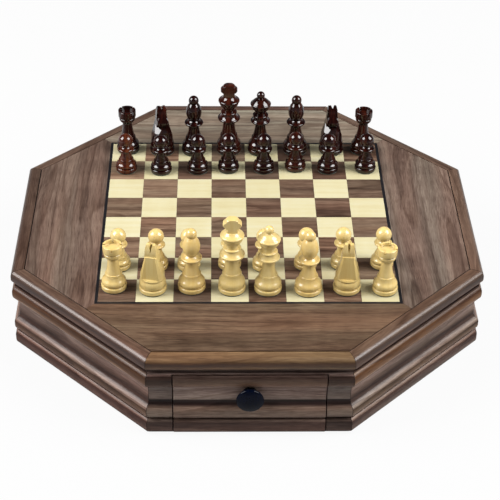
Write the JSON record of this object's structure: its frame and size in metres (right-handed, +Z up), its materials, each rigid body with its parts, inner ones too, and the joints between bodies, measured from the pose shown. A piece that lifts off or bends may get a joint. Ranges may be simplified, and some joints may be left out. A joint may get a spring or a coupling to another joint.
{
  "type": "chess box with drawers",
  "caption": "Octagonal walnut chess box with moulded sides, an inlaid board on top, drawers with knobs and a set of turned chessmen.",
  "frame": {"origin": "on the table, below the middle of the box", "axes": "+Z up; -Y towards the player of the pale men, where the front drawer opens; +X to that player's right"},
  "size_m": [0.36, 0.3762, 0.1335],
  "materials": {
    "walnut": "satin lacquer",
    "walnut_veneer": "satin lacquer",
    "maple_veneer": "satin lacquer",
    "black_stringing": "satin lacquer",
    "plywood": "sanded",
    "pine": "sanded",
    "black_lacquer": "gloss",
    "screw_steel": "zinc plated",
    "felt": "felt",
    "boxwood": "satin lacquer, felt below",
    "red_brown_lacquer": "gloss lacquer, felt below"
  },
  "bodies": {
    "case": {"base_panel": "plywood", "foot_pads": "felt", "wall_back": "walnut", "wall_front": "walnut", "wall_back_left": "walnut", "wall_left": "walnut", "wall_front_left": "walnut", "wall_front_right": "walnut", "wall_right": "walnut", "wall_back_right": "walnut", "top_rim": "walnut", "top_board": "plywood", "veneer_border": "walnut_veneer", "stringing": "black_stringing", "maple_squares": "maple_veneer", "walnut_squares": "walnut_veneer", "drawer_guides": "pine", "centre_divider": "pine"},
    "front_drawer": {"front_drawer_front": "walnut", "front_drawer_box": "pine", "front_drawer_bottom": "plywood", "front_drawer_knob": "black_lacquer", "front_knob_screw": "screw_steel"},
    "back_drawer": {"back_drawer_front": "walnut", "back_drawer_box": "pine", "back_drawer_bottom": "plywood", "back_drawer_knob": "black_lacquer", "back_knob_screw": "screw_steel"},
    "white_rook_a_man": {"white_rook_a": "boxwood"},
    "white_knight_b_man": {"white_knight_b": "boxwood"},
    "white_bishop_c_man": {"white_bishop_c": "boxwood"},
    "white_king_man": {"white_king": "boxwood"},
    "white_queen_man": {"white_queen": "boxwood"},
    "white_bishop_f_man": {"white_bishop_f": "boxwood"},
    "white_knight_g_man": {"white_knight_g": "boxwood"},
    "white_rook_h_man": {"white_rook_h": "boxwood"},
    "white_pawn_a_man": {"white_pawn_a": "boxwood"},
    "white_pawn_b_man": {"white_pawn_b": "boxwood"},
    "white_pawn_c_man": {"white_pawn_c": "boxwood"},
    "white_pawn_d_man": {"white_pawn_d": "boxwood"},
    "white_pawn_e_man": {"white_pawn_e": "boxwood"},
    "white_pawn_f_man": {"white_pawn_f": "boxwood"},
    "white_pawn_g_man": {"white_pawn_g": "boxwood"},
    "white_pawn_h_man": {"white_pawn_h": "boxwood"},
    "black_rook_a_man": {"black_rook_a": "red_brown_lacquer"},
    "black_knight_b_man": {"black_knight_b": "red_brown_lacquer"},
    "black_bishop_c_man": {"black_bishop_c": "red_brown_lacquer"},
    "black_king_man": {"black_king": "red_brown_lacquer"},
    "black_queen_man": {"black_queen": "red_brown_lacquer"},
    "black_bishop_f_man": {"black_bishop_f": "red_brown_lacquer"},
    "black_knight_g_man": {"black_knight_g": "red_brown_lacquer"},
    "black_rook_h_man": {"black_rook_h": "red_brown_lacquer"},
    "black_pawn_a_man": {"black_pawn_a": "red_brown_lacquer"},
    "black_pawn_b_man": {"black_pawn_b": "red_brown_lacquer"},
    "black_pawn_c_man": {"black_pawn_c": "red_brown_lacquer"},
    "black_pawn_d_man": {"black_pawn_d": "red_brown_lacquer"},
    "black_pawn_e_man": {"black_pawn_e": "red_brown_lacquer"},
    "black_pawn_f_man": {"black_pawn_f": "red_brown_lacquer"},
    "black_pawn_g_man": {"black_pawn_g": "red_brown_lacquer"},
    "black_pawn_h_man": {"black_pawn_h": "red_brown_lacquer"}
  },
  "joints": [
    {"name": "front_drawer_slide", "type": "slide", "parent": "case", "child": "front_drawer", "axis": [0, -1, 0], "range_m": [0, 0.13]},
    {"name": "back_drawer_slide", "type": "slide", "parent": "case", "child": "back_drawer", "axis": [0, 1, 0], "range_m": [0, 0.13]},
    {"name": "white_rook_a_lift", "type": "slide", "parent": "case", "child": "white_rook_a_man", "axis": [0, 0, 1], "range_m": [0, 0.08]},
    {"name": "white_knight_b_lift", "type": "slide", "parent": "case", "child": "white_knight_b_man", "axis": [0, 0, 1], "range_m": [0, 0.08]},
    {"name": "white_bishop_c_lift", "type": "slide", "parent": "case", "child": "white_bishop_c_man", "axis": [0, 0, 1], "range_m": [0, 0.08]},
    {"name": "white_king_lift", "type": "slide", "parent": "case", "child": "white_king_man", "axis": [0, 0, 1], "range_m": [0, 0.08]},
    {"name": "white_queen_lift", "type": "slide", "parent": "case", "child": "white_queen_man", "axis": [0, 0, 1], "range_m": [0, 0.08]},
    {"name": "white_bishop_f_lift", "type": "slide", "parent": "case", "child": "white_bishop_f_man", "axis": [0, 0, 1], "range_m": [0, 0.08]},
    {"name": "white_knight_g_lift", "type": "slide", "parent": "case", "child": "white_knight_g_man", "axis": [0, 0, 1], "range_m": [0, 0.08]},
    {"name": "white_rook_h_lift", "type": "slide", "parent": "case", "child": "white_rook_h_man", "axis": [0, 0, 1], "range_m": [0, 0.08]},
    {"name": "white_pawn_a_lift", "type": "slide", "parent": "case", "child": "white_pawn_a_man", "axis": [0, 0, 1], "range_m": [0, 0.08]},
    {"name": "white_pawn_b_lift", "type": "slide", "parent": "case", "child": "white_pawn_b_man", "axis": [0, 0, 1], "range_m": [0, 0.08]},
    {"name": "white_pawn_c_lift", "type": "slide", "parent": "case", "child": "white_pawn_c_man", "axis": [0, 0, 1], "range_m": [0, 0.08]},
    {"name": "white_pawn_d_lift", "type": "slide", "parent": "case", "child": "white_pawn_d_man", "axis": [0, 0, 1], "range_m": [0, 0.08]},
    {"name": "white_pawn_e_lift", "type": "slide", "parent": "case", "child": "white_pawn_e_man", "axis": [0, 0, 1], "range_m": [0, 0.08]},
    {"name": "white_pawn_f_lift", "type": "slide", "parent": "case", "child": "white_pawn_f_man", "axis": [0, 0, 1], "range_m": [0, 0.08]},
    {"name": "white_pawn_g_lift", "type": "slide", "parent": "case", "child": "white_pawn_g_man", "axis": [0, 0, 1], "range_m": [0, 0.08]},
    {"name": "white_pawn_h_lift", "type": "slide", "parent": "case", "child": "white_pawn_h_man", "axis": [0, 0, 1], "range_m": [0, 0.08]},
    {"name": "black_rook_a_lift", "type": "slide", "parent": "case", "child": "black_rook_a_man", "axis": [0, 0, 1], "range_m": [0, 0.08]},
    {"name": "black_knight_b_lift", "type": "slide", "parent": "case", "child": "black_knight_b_man", "axis": [0, 0, 1], "range_m": [0, 0.08]},
    {"name": "black_bishop_c_lift", "type": "slide", "parent": "case", "child": "black_bishop_c_man", "axis": [0, 0, 1], "range_m": [0, 0.08]},
    {"name": "black_king_lift", "type": "slide", "parent": "case", "child": "black_king_man", "axis": [0, 0, 1], "range_m": [0, 0.08]},
    {"name": "black_queen_lift", "type": "slide", "parent": "case", "child": "black_queen_man", "axis": [0, 0, 1], "range_m": [0, 0.08]},
    {"name": "black_bishop_f_lift", "type": "slide", "parent": "case", "child": "black_bishop_f_man", "axis": [0, 0, 1], "range_m": [0, 0.08]},
    {"name": "black_knight_g_lift", "type": "slide", "parent": "case", "child": "black_knight_g_man", "axis": [0, 0, 1], "range_m": [0, 0.08]},
    {"name": "black_rook_h_lift", "type": "slide", "parent": "case", "child": "black_rook_h_man", "axis": [0, 0, 1], "range_m": [0, 0.08]},
    {"name": "black_pawn_a_lift", "type": "slide", "parent": "case", "child": "black_pawn_a_man", "axis": [0, 0, 1], "range_m": [0, 0.08]},
    {"name": "black_pawn_b_lift", "type": "slide", "parent": "case", "child": "black_pawn_b_man", "axis": [0, 0, 1], "range_m": [0, 0.08]},
    {"name": "black_pawn_c_lift", "type": "slide", "parent": "case", "child": "black_pawn_c_man", "axis": [0, 0, 1], "range_m": [0, 0.08]},
    {"name": "black_pawn_d_lift", "type": "slide", "parent": "case", "child": "black_pawn_d_man", "axis": [0, 0, 1], "range_m": [0, 0.08]},
    {"name": "black_pawn_e_lift", "type": "slide", "parent": "case", "child": "black_pawn_e_man", "axis": [0, 0, 1], "range_m": [0, 0.08]},
    {"name": "black_pawn_f_lift", "type": "slide", "parent": "case", "child": "black_pawn_f_man", "axis": [0, 0, 1], "range_m": [0, 0.08]},
    {"name": "black_pawn_g_lift", "type": "slide", "parent": "case", "child": "black_pawn_g_man", "axis": [0, 0, 1], "range_m": [0, 0.08]},
    {"name": "black_pawn_h_lift", "type": "slide", "parent": "case", "child": "black_pawn_h_man", "axis": [0, 0, 1], "range_m": [0, 0.08]}
  ]
}
